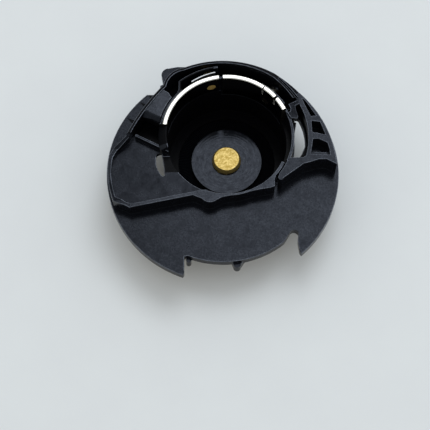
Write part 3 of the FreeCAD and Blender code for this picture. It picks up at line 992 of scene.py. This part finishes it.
def hang_key_panel(scene):
    """Large soft lamp behind and above the case, turned to the well."""
    key = bpy.data.lights.new("key_panel", "AREA")
    key.shape = "DISK"
    key.size = KEY_SIZE
    key.energy = KEY_POWER
    key.color = linear("#F6FAFF")
    lamp = bpy.data.objects.new("key_panel", key)
    lamp.location = KEY_PLACE
    lamp.rotation_euler = lamp.location.to_track_quat("Z", "Y").to_euler()
    scene.collection.objects.link(lamp)


def soft_room(scene):
    """Even light from all round, warmer from the sides than from above, and a plain pale backdrop
    wherever the room itself is seen or mirrored."""
    world = bpy.data.worlds.new("soft_room")
    world.use_nodes = True
    tree = world.node_tree
    tree.nodes.clear()
    way = add_node(tree, "ShaderNodeTexCoord").outputs["Generated"]
    lean = add_node(
        tree, "ShaderNodeVectorMath",
        settings={"operation": "DOT_PRODUCT"},
        values={1: ROOM_TOP},
        links={0: way},
    )
    fall = add_node(
        tree, "ShaderNodeMapRange",
        settings={"interpolation_type": "SMOOTHSTEP"},
        values={"From Min": 0.3, "From Max": 1.0},
        links={"Value": lean.outputs["Value"]},
    )
    glow = add_node(
        tree, "ShaderNodeMix",
        settings={"data_type": "RGBA"},
        values={MIX_FIRST: opaque(linear("#E2DCD2")), MIX_SECOND: opaque(linear("#F0F7FF"))},
        links={MIX_FACTOR: fall.outputs["Result"]},
    )
    room = add_node(
        tree, "ShaderNodeBackground",
        values={"Strength": ROOM_STRENGTH},
        links={"Color": glow.outputs[MIX_COLOUR]},
    )
    backdrop = add_node(
        tree, "ShaderNodeBackground",
        values={"Color": opaque(scene.bobbin_colours.floor), "Strength": 1.0},
    )
    path = add_node(tree, "ShaderNodeLightPath")
    mirrored = add_node(
        tree, "ShaderNodeMath",
        settings={"operation": "MAXIMUM"},
        links={0: path.outputs["Is Camera Ray"], 1: path.outputs["Is Glossy Ray"]},
    )
    seen = add_node(
        tree, "ShaderNodeMath",
        settings={"operation": "MAXIMUM"},
        links={0: mirrored.outputs[0], 1: path.outputs["Is Transmission Ray"]},
    )
    either = add_node(
        tree, "ShaderNodeMixShader",
        links={0: seen.outputs[0], 1: room.outputs["Background"], 2: backdrop.outputs["Background"]},
    )
    add_node(tree, "ShaderNodeOutputWorld", links={"Surface": either.outputs["Shader"]})
    scene.world = world


def set_camera(scene):
    """Camera in front of the case, looking down into the well."""
    lens = bpy.data.cameras.new("photo_view")
    lens.lens = CAMERA_LENS
    lens.clip_start = CAMERA_NEAREST
    camera = bpy.data.objects.new("photo_view", lens)
    camera.location = CAMERA_PLACE
    camera.rotation_euler = (math.radians(CAMERA_TILT), 0, 0)
    scene.collection.objects.link(camera)
    scene.camera = camera


class BOBBIN_OT_stage(bpy.types.Operator):
    """Set the paper floor, the soft light and the camera"""

    bl_idname = "bobbin.stage"
    bl_label = "Stage"

    def execute(self, context):
        context.scene.view_settings.view_transform = "Standard"
        lay_paper(context.scene)
        hang_key_panel(context.scene)
        soft_room(context.scene)
        set_camera(context.scene)
        return {"FINISHED"}


OPERATORS = (
    BOBBIN_OT_moulding,
    BOBBIN_OT_ribbed_ring,
    BOBBIN_OT_centre_post,
    BOBBIN_OT_thread_plates,
    BOBBIN_OT_tension_leaf,
    BOBBIN_OT_screws,
    BOBBIN_OT_magnet,
    BOBBIN_OT_stage,
)


class BOBBIN_PT_panel(bpy.types.Panel):
    """Lists the case's pieces, sizes and colours"""

    bl_idname = "BOBBIN_PT_panel"
    bl_label = "Bobbin case"
    bl_space_type = "VIEW_3D"
    bl_region_type = "UI"
    bl_category = "Bobbin case"

    def draw(self, context):
        for group in (context.scene.bobbin_sizes, context.scene.bobbin_colours):
            box = self.layout.box()
            for name in group.__annotations__:
                box.prop(group, name)
        for operator in OPERATORS:
            self.layout.operator(operator.bl_idname)


CLASSES = (BobbinCaseSizes, BobbinCaseColours) + OPERATORS + (BOBBIN_PT_panel,)


def register():
    """Add the classes, and the sizes and colours of a scene."""
    for cls in CLASSES:
        bpy.utils.register_class(cls)
    bpy.types.Scene.bobbin_sizes = PointerProperty(type=BobbinCaseSizes)
    bpy.types.Scene.bobbin_colours = PointerProperty(type=BobbinCaseColours)


def unregister():
    """Take away what register adds."""
    del bpy.types.Scene.bobbin_colours
    del bpy.types.Scene.bobbin_sizes
    for cls in reversed(CLASSES):
        bpy.utils.unregister_class(cls)


def main():
    """Make every piece and the stage."""
    register()
    bpy.ops.bobbin.moulding()
    bpy.ops.bobbin.ribbed_ring()
    bpy.ops.bobbin.centre_post()
    bpy.ops.bobbin.thread_plates()
    bpy.ops.bobbin.tension_leaf()
    bpy.ops.bobbin.screws()
    bpy.ops.bobbin.magnet()
    bpy.ops.bobbin.stage()


if __name__ == "__main__":
    main()
